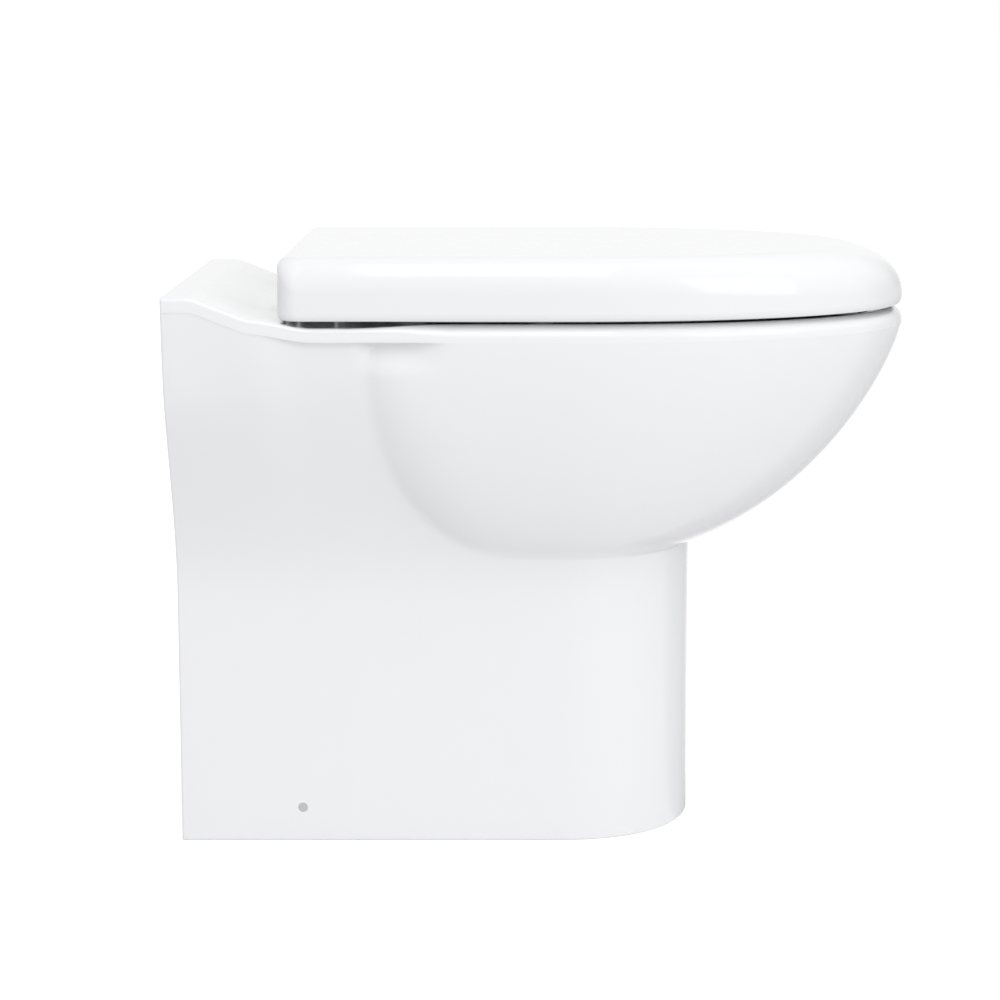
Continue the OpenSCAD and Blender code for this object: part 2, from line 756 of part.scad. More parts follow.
bracket_t = 5;
leg_t = 6;
leg_h = 44;
bracket_in = floor_pitch_x / 2 - 14;
nut_block = 10;
block_w = 18;
screw_r = 2;
module floor_bracket(side) {
    color(plastic) from_wall() mirrored(side) difference() {
        union() {
            translate([bracket_in, -bracket_back - bracket_len / 2, 0])
                cube([inner_x - bracket_in, bracket_len, bracket_t]);
            translate([inner_x - leg_t, -bracket_back - bracket_len / 2, 0])
                cube([leg_t, bracket_len, leg_h]);
            translate([inner_x - leg_t - nut_block, -bracket_back - block_w / 2, screw_z - block_w / 2])
                cube([nut_block + over, block_w, block_w]);
        }
        for (k = [-1, 1])
            translate([floor_pitch_x / 2, -bracket_back + k * floor_pitch_y / 2, -over])
                cylinder(h = bracket_t + 2 * over, r = floor_hole / 2, $fn = 40);
        cross_cylinder(inner_x - leg_t - nut_block - over, inner_x + over, bracket_back, screw_z, screw_r);
    }
}
head_t = 2.4;
module side_screw(side) {
    color(steel) from_wall() mirrored(side) {
        cross_cylinder(inner_x - leg_t - nut_block, shoulder_x, bracket_back, screw_z, screw_r);
        cross_cylinder(shoulder_x, shoulder_x + head_t, bracket_back, screw_z, cap_bore / 2 - 0.2);
    }
}
module screw_cap(side) {
    color("lightgray") from_wall() mirrored(side)
        cross_cylinder(shoulder_x + head_t, foot_half - 0.4, bracket_back, screw_z, cap_bore / 2 - 0.1);
}

pan();
foot();
trap_bend();
inlet_horn();
seat_ring();
lid();
ring_buffers_front();
ring_buffers_rear();
lid_buffers();
hinge_plate(-1);  // hinge_plate_left
hinge_plate(1);  // hinge_plate_right
hinge_gasket(-1);  // hinge_gasket_left
hinge_gasket(1);  // hinge_gasket_right
hinge_post(-1);  // hinge_post_left
hinge_post(1);  // hinge_post_right
hinge_pin(-1);  // hinge_pin_left
hinge_pin(1);  // hinge_pin_right
lid_damper();
ring_damper();
hinge_bolt(-1);  // hinge_bolt_left
hinge_bolt(1);  // hinge_bolt_right
fixing_bush(-1);  // fixing_bush_left
fixing_bush(1);  // fixing_bush_right
fixing_washers();
wing_nut(-1);  // wing_nut_left
wing_nut(1);  // wing_nut_right
floor_bracket(-1);  // floor_bracket_left
floor_bracket(1);  // floor_bracket_right
side_screw(-1);  // side_screw_left
side_screw(1);  // side_screw_right
screw_cap(-1);  // screw_cap_left
screw_cap(1);  // screw_cap_right
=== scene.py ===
"""A white back-to-wall WC pan with its seat ring and wrap-over lid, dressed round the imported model."""
import math

import bmesh
import bpy
import numpy as np
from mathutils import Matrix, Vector


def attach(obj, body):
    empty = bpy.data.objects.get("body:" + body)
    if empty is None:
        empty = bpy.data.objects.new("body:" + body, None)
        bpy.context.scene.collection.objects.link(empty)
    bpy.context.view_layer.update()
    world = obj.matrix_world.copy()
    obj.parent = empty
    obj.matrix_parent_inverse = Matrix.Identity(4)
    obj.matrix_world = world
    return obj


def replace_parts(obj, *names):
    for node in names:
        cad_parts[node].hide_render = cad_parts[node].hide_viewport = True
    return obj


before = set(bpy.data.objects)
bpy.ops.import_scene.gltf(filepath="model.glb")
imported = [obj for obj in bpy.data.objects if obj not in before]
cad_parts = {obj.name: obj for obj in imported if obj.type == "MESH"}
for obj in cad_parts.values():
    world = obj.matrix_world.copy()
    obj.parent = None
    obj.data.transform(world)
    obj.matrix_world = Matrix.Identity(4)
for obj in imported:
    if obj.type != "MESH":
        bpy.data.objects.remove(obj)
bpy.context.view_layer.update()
scene = bpy.context.scene

# Camera, square to the pan's left side and a little above it
camera_data = bpy.data.cameras.new("camera")
camera_data.lens = 96.12
camera_data.sensor_width = 36.0
camera_data.clip_end = 100.0
camera = bpy.data.objects.new("camera", camera_data)
camera.location = (-2.080, 0.0345, 0.601)
camera.rotation_euler = (math.radians(90 - 9.7), 0, math.radians(-90))
scene.collection.objects.link(camera)
scene.camera = camera

# Sizes of the part's source, in millimetres. A d is a distance from the wall.
MM = 0.001
PAN_W, PAN_LEN, RIM_H = 360.0, 555.0, 400.0
HALF_W = PAN_W / 2
WALL_Y = PAN_LEN / 2
DECK_RISE, DECK_FLAT, RAMP_END, LEDGE_RISE = 22.0, 22.0, 62.0, 6.5
FLANGE_H = 10.5
FLANGE_Z = RIM_H - FLANGE_H
FOOT_HALF, FOOT_LEN = 110.0, 392.0
SKIRT_T, SHELF_T = 11.0, 16.0
SHELF_LOW = RIM_H - SHELF_T
MID_D = 288.0
ROUNDNESS = 2.2
FOOT_ROUND, RIM_ROUND = FOOT_LEN - MID_D, PAN_LEN - MID_D
SWELL_LOW = RIM_H - 210
FLANGE_STEP, FLANGE_START, FLANGE_FULL = 4.0, 66.0, 105.0
FIXING_BACK, FIXING_X, FIXING_R = 125.0, 77.5, 7.5
LEDGE_END = FIXING_BACK - 18 + 1
LIFT_LOW = RIM_H - 60
BELLY_TOP, BELLY_DROP = RIM_H - 8, 181.0
BELLY_LOW = BELLY_TOP - BELLY_DROP
BELLY_CORE_D, BELLY_CORE_W = 325.0, 83.0
BELLY_FALL, BELLY_FULL = 1.32, 2.18
CREASE_BACK, CREASE_FRONT = 148.0, 265.0
CREASE_TOP, CREASE_DROP, CREASE_SOFT = RIM_H - 20, 160.0, 4.5
CREASE_WIDTH, CREASE_STEEP = 4.0, 4.8
BELLY_RUN_TOP, BELLY_RUN_LOW, BELLY_RUN_DROP = 45.0, 110.0, 80.0
MOUTH_W, MOUTH_BACK, MOUTH_FRONT = 276.0, 168.0, PAN_LEN - 42
BOWL_T, SUMP_Z = 10.0, 150.0
BOWL_ROUND, BOWL_LEAN, BOWL_LIP = 1.4, 1.25, 5.0
TRAP_BORE = 36.0
TRAP_R = TRAP_BORE + 9
INLET_Z, INLET_R, INLET_DEPTH, CHANNEL_R = 347.0, 27.5, 50.0, 20.0
HORN_R = INLET_R + 10.5
OUTLET_Z, SPIGOT_R, SPIGOT_BORE = 185.0, 51.0, 43.0
PIPE_BACK = 14.0
SPIGOT_IN = PIPE_BACK + 56
SPIGOT_CLEAR = SPIGOT_IN - 10
SPIGOT_LAP = 2.0
LID_Z, LID_LOW, LID_T, LID_BACK = 450.0, 405.0, 4.0, 83.0
LID_INNER_Z = LID_Z - LID_T
PIN_BACK, PIN_Z, PIN_R = 98.0, 437.5, 4.0
LUG_R, LUG_W, DAMPER_R = 7.5, 19.5, 5.8
POST_W = 15.0
POST_X = FIXING_X - POST_W / 2
LID_LUG_X = POST_X - 0.5 - LUG_W
RING_LUG_X = POST_X + POST_W + 0.5
RING_LOW, RING_Z = 404.0, 428.0
RING_HALF = HALF_W - LID_T - 3.5
RING_BACK, RING_FRONT = 137.0, 543.5
HOLE_HALF_W, HOLE_HALF_L, HOLE_MID = 105.0, 152.5, 345.0
BRACKET_BACK, SCREW_Z = 92.5, 26.0
OVER = 1.0


def soft(t):
    c = np.clip(t, 0, 1)
    return c * c * (3 - 2 * c)


def above(v, k):
    """The positive part of v, rounded within k of nothing."""
    return np.where(v > k, v, np.where(v < -k, 0, (v + k) ** 2 / (4 * k)))


def round_r(a, b, angle, n=ROUNDNESS):
    """Radius of a superellipse with half axes a and b."""
    return ((np.abs(np.cos(angle)) / a) ** n + (np.abs(np.sin(angle)) / b) ** n) ** (-1 / n)


# Pan: the skin's formulas, as in the part's source
def deck_lift(d):
    ramp = (DECK_RISE - LEDGE_RISE) * (1 - np.clip((d - DECK_FLAT) / (RAMP_END - DECK_FLAT), 0, 1))
    return ramp + LEDGE_RISE * (1 - soft((d - RAMP_END) / (LEDGE_END - RAMP_END)))


def soft_deck(d, blur=3.0):
    """The deck's lift with its bends rounded, as glaze leaves them."""
    shifts = np.linspace(-blur, blur, 9)
    return np.mean([deck_lift(d + s) for s in shifts], axis=0)


def lifted(z, d):
    return z + soft_deck(d) * soft((z - LIFT_LOW) / (FLANGE_Z - LIFT_LOW))


def side_half(z, d):
    top = HALF_W - FLANGE_STEP * soft((d - FLANGE_START) / (FLANGE_FULL - FLANGE_START))
    return FOOT_HALF + (top - FOOT_HALF) * soft((z - SWELL_LOW) / (RIM_H - SWELL_LOW))


def belly(z):
    return max(1 - (max(BELLY_TOP - z, 0) / BELLY_DROP) ** BELLY_FALL, 0) ** (1 / BELLY_FULL)


def belly_half(z):
    return BELLY_CORE_W + (HALF_W - BELLY_CORE_W) * belly(z)


def crease_d(z):
    t = min(max((CREASE_TOP - z) / CREASE_DROP, 0), 1)
    return CREASE_FRONT - (CREASE_FRONT - CREASE_BACK) * (1 - t ** ROUNDNESS) ** (1 / ROUNDNESS)


def belly_share(z, d):
    run = BELLY_RUN_TOP + (BELLY_RUN_LOW - BELLY_RUN_TOP) * soft((CREASE_TOP - z) / BELLY_RUN_DROP)
    u = np.minimum(above((d - crease_d(z)) / run, CREASE_WIDTH / run), 1)
    return 1 - (1 - u) ** CREASE_STEEP


def skin_half(z, d):
    w = side_half(z, d)
    return np.minimum(w + above(belly_half(z) - w, CREASE_SOFT) * belly_share(z, d), HALF_W)


def skin_r(z, angle):
    rim = round_r(HALF_W, RIM_ROUND, angle)
    foot = round_r(side_half(z, MID_D), FOOT_ROUND, angle)
    bulge = round_r(belly_half(z), BELLY_CORE_D + (PAN_LEN - BELLY_CORE_D) * belly(z) - MID_D, angle)
    return np.minimum(foot + above(bulge - foot, CREASE_SOFT), rim)


def stepped(stops, step):
    """Places no further apart than step, with every stop among them."""
    counts = [max(int(math.ceil((b - a) / step)), 1) for a, b in zip(stops, stops[1:])]
    runs = [np.linspace(a, b, n + 1)[:-1] for a, b, n in zip(stops, stops[1:], counts)]
    return np.concatenate(runs + [[stops[-1]]])


def arc_angles(parts, a=RIM_ROUND, b=HALF_W):
    s = np.radians(90 * np.arange(1, parts + 1) / parts)
    return np.arctan2(a * np.sin(s), b * np.cos(s))


def both_sides(half):
    """A loop from the left rear corner round the front to the right rear corner."""
    half = np.asarray(half)
    left = half * (-1, 1, 1)
    return np.concatenate([left, half[-2::-1]])


def placed(points):
    """Points given as x, distance from the wall and height, in the model's frame."""
    p = np.asarray(points, float)
    return np.stack([p[:, 0], WALL_Y - p[:, 1], p[:, 2]], 1) * MM


def new_object(name, verts, faces):
    mesh = bpy.data.meshes.new(name)
    mesh.from_pydata([tuple(v) for v in verts], [], faces)
    obj = bpy.data.objects.new(name, mesh)
    scene.collection.objects.link(obj)
    work = bmesh.new()
    work.from_mesh(mesh)
    bmesh.ops.recalc_face_normals(work, faces=work.faces)
    work.to_mesh(mesh)
    work.free()
    return obj


def lofted(name, loops, caps="strips", ring=False):
    """A closed skin through loops of equal length. With ring, the last loop joins the first."""
    m, n = len(loops[0]), len(loops)
    faces = []
    for k in range(n if ring else n - 1):
        for i in range(m):
            j, nxt = (i + 1) % m, (k + 1) % n
            faces.append((k * m + i, k * m + j, nxt * m + j, nxt * m + i))
    if not ring:
        for first in (0, (n - 1) * m):
            if caps == "strips":
                h, last = (m - 1) // 2, first + m - 1
                faces += [(first + j, first + j + 1, last - 1 - j, last - j) for j in range(h - 1)]
                faces.append((first + h - 1, first + h, first + h + 1))
            else:
                faces.append(tuple(range(first, first + m)))
    return new_object(name, placed(np.concatenate(loops)), faces)


def hulled(name, points):
    """The convex hull of some points."""
    work = bmesh.new()
    for p in placed(points):
        work.verts.new(p)
    bmesh.ops.convex_hull(work, input=work.verts)
    bmesh.ops.delete(work, geom=[v for v in work.verts if not v.link_faces], context="VERTS")
    mesh = bpy.data.meshes.new(name)
    work.to_mesh(mesh)
    work.free()
    obj = bpy.data.objects.new(name, mesh)
    scene.collection.objects.link(obj)
    return obj


def circle(parts, r, mid, start, axis):
    """Points of a circle round an axis along X ("x"), out from the wall ("d") or up ("z")."""
    a = 2 * np.pi * np.arange(parts) / parts
    u, v, w = r * np.cos(a), r * np.sin(a), np.full(parts, float(start))
    if axis == "x":
        return np.stack([w, mid[0] + u, mid[1] + v], 1)
    if axis == "d":
        return np.stack([mid[0] + u, w, mid[1] + v], 1)
    return np.stack([mid[0] + u, mid[1] + v, w], 1)


def turned(name, stations, mid, axis, parts=96):
    """A solid of revolution through (place along the axis, radius) pairs."""
    return lofted(name, [circle(parts, r, mid, s, axis) for s, r in stations], caps="disc")


def baked(obj):
    """The object's own mesh takes what its modifiers do."""
    bpy.context.view_layer.update()
    mesh = bpy.data.meshes.new_from_object(obj.evaluated_get(bpy.context.evaluated_depsgraph_get()))
    obj.modifiers.clear()
    obj.data = mesh
    return obj


def joined(target, tool, operation):
    """Target with tool cut from it, added to it or kept where both are."""
    step = target.modifiers.new(operation.lower(), "BOOLEAN")
    step.operation, step.object, step.solver = operation, tool, "MANIFOLD"
    step.material_mode = "TRANSFER"
    baked(target)
    bpy.data.objects.remove(tool)
    return target


def smoothed(obj, sharp_deg=32):
    """Smooth shading up to the sharp edges, with the flat faces kept flat."""
    work = bmesh.new()
    work.from_mesh(obj.data)
    bmesh.ops.remove_doubles(work, verts=work.verts, dist=1e-7)
    bmesh.ops.dissolve_degenerate(work, edges=work.edges, dist=1e-7)
    open_edges = sum(1 for e in work.edges if len(e.link_faces) != 2)
    for f in work.faces:
        f.smooth = True
    for e in work.edges:
        e.smooth = len(e.link_faces) == 2 and e.calc_face_angle(0) < math.radians(sharp_deg)
    work.to_mesh(obj.data)
    work.free()
    print(obj.name, "faces", len(obj.data.polygons), "open edges", open_edges)
    weigh = obj.modifiers.new("weighted", "WEIGHTED_NORMAL")
    weigh.keep_sharp = True
    return baked(obj)


# The dim side of the studio: where it is round the part, how it fades round its edges and upwards, how dim
DIM_TURN, DIM_EDGE, DIM_TOP, DIM = math.radians(48), (0.86, 0.96), (0.15, 0.5), 0.52


class Wire:
    """A node's output. Sums, differences and products of it add Math nodes."""

    def __init__(self, finish, socket):
        self.finish, self.socket = finish, socket

    def maths(self, operation, a, b):
        return self.finish.node("ShaderNodeMath", {"operation": operation}, {0: a, 1: b})

    def __add__(self, other):
        return self.maths("ADD", self, other)

    def __sub__(self, other):
        return self.maths("SUBTRACT", self, other)

    def __rsub__(self, other):
        return self.maths("SUBTRACT", other, self)

    def __mul__(self, other):
        return self.maths("MULTIPLY", self, other)

    __radd__ = __add__
    __rmul__ = __mul__


class Finish:
    """The nodes of one material or of the world."""

    def __init__(self, owner):
        self.owner = owner
        owner.use_nodes = True
        self.tree = owner.node_tree
        self.tree.nodes.clear()

    def node(self, kind, settings=None, sockets=None, out=0):
        made = self.tree.nodes.new(kind)
        for key, value in (settings or {}).items():
            if key == "stops":
                ramp = made.color_ramp.elements
                while len(ramp) < len(value):
                    ramp.new(0.5)
                for stop, (place, shade) in zip(ramp, value):
                    stop.position, stop.color = place, (shade, shade, shade, 1)
            else:
                setattr(made, key, value)
        for key, value in (sockets or {}).items():
            if isinstance(value, Wire):
                self.tree.links.new(value.socket, made.inputs[key])
            else:
                made.inputs[key].default_value = value
        return Wire(self, made.outputs[out]) if len(made.outputs) else made

    def noise(self, scale, detail=2.0, rough=0.5, stretch=(1, 1, 1)):
        at = self.node("ShaderNodeTexCoord", out="Object")
        if stretch != (1, 1, 1):
            at = self.node("ShaderNodeVectorMath", {"operation": "MULTIPLY"}, {0: at, 1: stretch})
        return self.node("ShaderNodeTexNoise", sockets={"Vector": at, "Scale": scale, "Detail": detail,
                                                        "Roughness": rough})

    def ramp(self, value, low, high, dark=0.0, light=1.0):
        return self.node("ShaderNodeValToRGB", {"stops": [(low, dark), (high, light)]}, {0: value})

    def blend(self, share, *colours):
        first, second = [(*c, 1) if isinstance(c, tuple) else c for c in colours]
        return self.node("ShaderNodeMix", {"data_type": "RGBA"}, {0: share, 6: first, 7: second}, out=2)

    def bump(self, height, depth):
        return self.node("ShaderNodeBump", sockets={"Height": height, "Distance": depth, "Strength": 1.0})

    def seen_rays(self):
        """One for the rays that show the room itself: the camera's, mirrored ones and those through glass."""
        rays = [self.node("ShaderNodeLightPath", out=k) for k in
                ("Is Camera Ray", "Is Glossy Ray", "Is Transmission Ray")]
        return self.node("ShaderNodeMath", {"operation": "MINIMUM"}, {0: rays[0] + rays[1] + rays[2], 1: 1.0})

    def dim_side(self, outward):
        """How far a direction points to the room's dim side, low down and beside the bowl's front."""
        flat = self.node("ShaderNodeVectorMath", {"operation": "MULTIPLY"}, {0: outward, 1: (1, 1, 0)})
        flat = self.node("ShaderNodeVectorMath", {"operation": "NORMALIZE"}, {0: flat})
        middle = (math.cos(DIM_TURN), -math.sin(DIM_TURN), 0)
        near = self.node("ShaderNodeVectorMath", {"operation": "DOT_PRODUCT"}, {0: flat, 1: middle}, out=1)
        high = self.node("ShaderNodeSeparateXYZ", sockets={0: outward}, out=2)
        return self.ramp(near, *DIM_EDGE) * self.ramp(high, *DIM_TOP, 1.0, 0.0)

    def surface(self, **sockets):
        named = {key.replace("_", " "): value for key, value in sockets.items()}
        shader = self.node("ShaderNodeBsdfPrincipled", sockets=named)
        self.node("ShaderNodeOutputMaterial", sockets={"Surface": shader})
        return self.owner


def new_finish(name):
    return Finish(bpy.data.materials.new(name))


def glazed_china():
    """Fired glaze: broad waves, a faint orange peel and a few pinholes."""
    f = new_finish("glazed_china")
    cloud = f.noise(5.0, 3.0)
    peel = f.noise(210.0, 2.0)
    waves = f.noise(26.0, 1.0)
    pinholes = f.ramp(f.noise(760.0, 1.0), 0.20, 0.24)
    colour = f.blend(cloud, (0.842, 0.846, 0.862), (0.862, 0.865, 0.876))
    rough = 0.05 + f.noise(60.0, 3.0) * 0.03
    normal = f.bump(waves + peel * 0.06 + pinholes * 0.02, 0.00018)
    return f.surface(Base_Color=colour, Roughness=rough, Normal=normal)


def bare_china():
    """Unglazed body inside the skirt: matt and slightly sandy, with drips of thin glaze."""
    f = new_finish("bare_china")
    stain = f.noise(14.0, 4.0)
    sand = f.noise(1500.0, 2.0)
    wash = f.ramp(f.noise(7.0, 2.0, stretch=(1, 1, 0.3)), 0.42, 0.6)
    colour = f.blend(stain, (0.76, 0.745, 0.71), (0.82, 0.81, 0.785))
    colour = f.blend(wash, colour, (0.83, 0.83, 0.82))
    rough = 0.78 - wash * 0.25
    normal = f.bump(sand + f.noise(90.0, 3.0) * 2.0, 0.00012)
    return f.surface(Base_Color=colour, Roughness=rough, Normal=normal)


def seat_plastic():
    """Pressed thermoset, polished: faint swirls from the buffing wheel."""
    f = new_finish("seat_plastic")
    cloud = f.noise(4.0, 2.0)
    swirl = f.noise(30.0, 4.0, 0.6, (1, 5, 1))
    colour = f.blend(cloud, (0.828, 0.832, 0.846), (0.842, 0.845, 0.857))
    rough = 0.07 + swirl * 0.05
    normal = f.bump(f.noise(18.0, 1.0) + f.noise(420.0, 1.0) * 0.03, 0.00008)
    return f.surface(Base_Color=colour, Roughness=rough, Normal=normal)


def moulded(name, colour, shade, rough, grain, depth):
    """Rubber or plastic with a fine moulded grain."""
    f = new_finish(name)
    tone = f.noise(70.0, 3.0)
    fine = f.noise(grain, 2.0)
    return f.surface(Base_Color=f.blend(tone, colour, shade), Roughness=rough + fine * 0.12,
                     Normal=f.bump(fine, depth))


def brushed_steel():
    """Satin stainless: fine streaks from the belt and a few darker water marks."""
    f = new_finish("brushed_steel")
    streaks = f.noise(900.0, 3.0, 0.6, (0.04, 1, 1))
    marks = f.noise(60.0, 2.0)
    colour = f.blend(marks, (0.56, 0.565, 0.57), (0.66, 0.665, 0.67))
    return f.surface(Base_Color=colour, Metallic=1.0, Roughness=0.22 + streaks * 0.16,
                     Normal=f.bump(streaks, 0.00002))


china, biscuit, plastic_white = glazed_china(), bare_china(), seat_plastic()
rubber_dark = moulded("bush_rubber", (0.028, 0.028, 0.030), (0.040, 0.040, 0.042), 0.62, 1400.0, 0.00004)
rubber_pale = moulded("buffer_rubber", (0.55, 0.56, 0.58), (0.60, 0.61, 0.63), 0.48, 1200.0, 0.00004)
steel = brushed_steel()
plastic_grey = moulded("damper_plastic", (0.16, 0.165, 0.175), (0.19, 0.195, 0.205), 0.42, 1700.0, 0.00003)
plastic_pale = moulded("bracket_plastic", (0.70, 0.71, 0.71), (0.74, 0.75, 0.75), 0.45, 1500.0, 0.00003)
plastic_cap = moulded("cap_plastic", (0.50, 0.50, 0.53), (0.54, 0.54, 0.57), 0.32, 1500.0, 0.00002)


def painted(obj, *finishes):
    obj.data.materials.clear()
    for f in finishes:
        obj.data.materials.append(f)
    return obj


# Pan: its skin is lofted from loops that run round the two sides and the front
REAR_ROUND = 1.8
REAR_TURN = np.radians([0, 20, 40, 60, 75])
FOOT_EDGE = 1.5
FLANGE_SOFT, FLANGE_LIP = 3.0, 1.2
TUCK, TUCK_DROP = 9.0, 24.0
TUCK_BACK, TUCK_FRONT = (138.0, 154.0), (168.0, 208.0)
RIM_EDGE_IN, RIM_EDGE_DOWN, REAR_EDGE = 10.0, 6.5, 0.4
CROWN, CROWN_IN = 2.4, 14.0
EDGE_GROWS, CROWN_GROWS = (160.0, 210.0), (130.0, 200.0)
SKIN_STEP, FINE_STEP, FINE_H = 2.6, 0.5, 9.0
SIDE_D = np.concatenate([REAR_ROUND * (1 - np.cos(REAR_TURN)),
                         stepped([REAR_ROUND, DECK_FLAT - 3, DECK_FLAT + 3, RAMP_END - 3, RAMP_END + 3,
                                  LEDGE_END, CREASE_BACK, MID_D], 3.4)])
SIDE_INSET = np.where(SIDE_D < REAR_ROUND,
                      REAR_ROUND - np.sqrt(np.maximum(REAR_ROUND ** 2 - (REAR_ROUND - SIDE_D) ** 2, 0)), 0)
ARC_A = arc_angles(72)


def grown(low, high):
    """0 up to the place low along the sides and 1 from the place high on, with a soft run between."""
    return soft((SIDE_D - low) / (high - low))


def tuck(z):
    """How far the sides are drawn in where the belly's back edge meets the flange."""
    under = 1 - soft((FLANGE_Z - z) / TUCK_DROP)
    return TUCK * under * grown(*TUCK_BACK) * (1 - grown(*TUCK_FRONT))


def skin_loop(z, inset, flange, crown=None):
    """One loop of the pan's skin. Flange says how far it has come out to the rim's flange, from 0 to 1.

    A loop with a crown is of the rim's edge, which is crisp at the rear, and is lifted by that much in front.
    """
    zs = min(z, FLANGE_Z - 0.5)
    w = skin_half(zs, SIDE_D) - tuck(zs)
    share = 1 if crown is None else REAR_EDGE + (1 - REAR_EDGE) * grown(*EDGE_GROWS)
    crown = crown or 0.0
    half = w + (HALF_W - w) * flange - inset * share - SIDE_INSET
    height = lifted(RIM_H - (RIM_H - z) * share, SIDE_D) + crown * grown(*CROWN_GROWS)
    side = np.stack([half, SIDE_D, height], 1)
    r = skin_r(zs, ARC_A)
    r = r + (round_r(HALF_W, RIM_ROUND, ARC_A) - r) * flange - inset
    arc = np.stack([r * np.cos(ARC_A), MID_D + r * np.sin(ARC_A), np.full(len(r), z + crown)], 1)
    arc[-1, 0] = 0
    return both_sides(np.concatenate([side, arc]))


def skin_rows():
    """Height, inset, share of the flange and, at the rim's edge, lift of the crown for each loop."""
    rows = [(FOOT_EDGE * (1 - math.cos(a)), FOOT_EDGE * (1 - math.sin(a)), 0)
            for a in np.radians([0, 30, 60])]
    rows += [(z, 0, 0) for z in (FOOT_EDGE, 18, 34, 60, 100, 140, 172)]
    flange_low = FLANGE_Z - FLANGE_SOFT
    rows += [(z, 0, 0) for z in stepped([SWELL_LOW, BELLY_LOW], SKIN_STEP)[:-1]]
    rows += [(z, 0, 0) for z in stepped([BELLY_LOW, BELLY_LOW + FINE_H], FINE_STEP)[:-1]]
    rows += [(z, 0, 0) for z in stepped([BELLY_LOW + FINE_H, 250, flange_low], SKIN_STEP)]
    for a in np.radians([20, 40, 60, 80]):
        rows.append((flange_low + FLANGE_SOFT * math.sin(a), 0,
                     FLANGE_SOFT * (1 - math.cos(a)) / FLANGE_STEP))
    for a in np.radians([-78, -52, -26, 0]):
        rows.append((FLANGE_Z + FLANGE_LIP + FLANGE_LIP * math.sin(a), 0,
                     (FLANGE_STEP - FLANGE_LIP + FLANGE_LIP * math.cos(a)) / FLANGE_STEP))
    rows.append((392.6, 0, 1))
    for a in np.radians(np.linspace(0, 90, 14)):
        down, back = 1 - math.sin(a), 1 - math.cos(a)
        rows.append((RIM_H - RIM_EDGE_DOWN * down, RIM_EDGE_IN * back, 1, CROWN * back))
    for t in np.linspace(0, 1, 7)[1:]:
        rows.append((RIM_H, RIM_EDGE_IN + CROWN_IN * t, 1, CROWN * (1 - soft(t))))
    return rows


# Skirt's hollow, open behind and below
CAVITY_D = stepped([0, DECK_FLAT, RAMP_END, LEDGE_END, CREASE_BACK, MID_D], 8)
CAVITY_A = arc_angles(36)


def cavity_loop(z, drop):
    d = CAVITY_D
    side = np.stack([skin_half(z, d) - SKIRT_T, d, lifted(z, d) - drop], 1)
    side[0, 1] = -OVER
    r = skin_r(z, CAVITY_A) - SKIRT_T
    arc = np.stack([r * np.cos(CAVITY_A), MID_D + r * np.sin(CAVITY_A), np.full(len(r), float(z - drop))], 1)
    arc[-1, 0] = 0
    return both_sides(np.concatenate([side, arc]))


def cavity_rows():
    """Height and drop for each loop. The drop keeps the hollow's top under the rim's shelf."""
    top = FLANGE_Z - 1
    rows = [(0, OVER), (SWELL_LOW, 0)]
    for i in range(31):
        z = BELLY_LOW + 8 + (top - BELLY_LOW - 8) * (i / 30) ** 1.2
        rows.append((z, float(soft(1 - (top - z) / 60)) * (top - SHELF_LOW)))
    return rows


# Trapway: from the sump round a dip, over a weir and down to the spigot
DIP_R, WEIR_R, WEIR_FALL = TRAP_R + 1.5, TRAP_R + 3, math.radians(40)
TRAP_END = SPIGOT_CLEAR - 4
WEIR_D = TRAP_END + 2 * WEIR_R * math.sin(WEIR_FALL)
TRAP_IN = WEIR_D + WEIR_R + 2 * DIP_R
WEIR_MID = np.array([WEIR_D, OUTLET_Z + 31 - WEIR_R])
DIP_MID = np.array([TRAP_IN - DIP_R, SUMP_Z - 56 + DIP_R])


def trap_route():
    dip = [DIP_MID + DIP_R * np.array([math.cos(a), -math.sin(a)]) for a in np.linspace(0, math.pi, 33)]
    weir = [WEIR_MID + WEIR_R * np.array([math.cos(a), math.sin(a)])
            for a in np.linspace(0, math.pi / 2 + WEIR_FALL, 25)]
    end = np.array([TRAP_END, WEIR_MID[1] + WEIR_R * (2 * math.cos(WEIR_FALL) - 1)])
    fall = [end + WEIR_R * np.array([math.sin(a), 1 - math.cos(a)]) for a in np.linspace(WEIR_FALL, 0, 8)[1:]]
    return np.array([[TRAP_IN, SUMP_Z + 26], [TRAP_IN, SUMP_Z - 2], *dip, *weir, *fall])


def trap_tube(name, r, first, parts=56):
    """A tube's solid along the trapway, from the given place on its route."""
    route = trap_route()[first:]
    along = np.gradient(route, axis=0)
    along /= np.linalg.norm(along, axis=1)[:, None]
    c = 2 * np.pi * (np.arange(parts) + 0.5) / parts
    loops = [np.stack([r * np.sin(c), p[0] + t[1] * r * np.cos(c), p[1] - t[0] * r * np.cos(c)], 1)
             for p, t in zip(route, along)]
    return lofted(name, loops, caps="disc")


SUMP_FRONT, SUMP_BACK = TRAP_IN + TRAP_BORE - 3, TRAP_IN - TRAP_BORE - 3


def bowl_loop(z, at_z, grow, parts=140):
    """The bowl's outline at height z, grown outwards and put at height at_z."""
    t = min(max((RIM_H - z) / (RIM_H - SUMP_Z), 0), 1)
    opening = (1 - t ** BOWL_ROUND) ** (1 / BOWL_ROUND)
    f = SUMP_FRONT + (MOUTH_FRONT - SUMP_FRONT) * opening ** BOWL_LEAN + grow
    b = MOUTH_BACK + (SUMP_BACK - MOUTH_BACK) * t * t - grow
    w = TRAP_BORE + (MOUTH_W / 2 - TRAP_BORE) * opening + grow
    a = 2 * np.pi * np.arange(parts) / parts
    r = round_r(w, (f - b) / 2, a)
    return np.stack([r * np.cos(a), (f + b) / 2 + r * np.sin(a), np.full(parts, float(at_z))], 1)


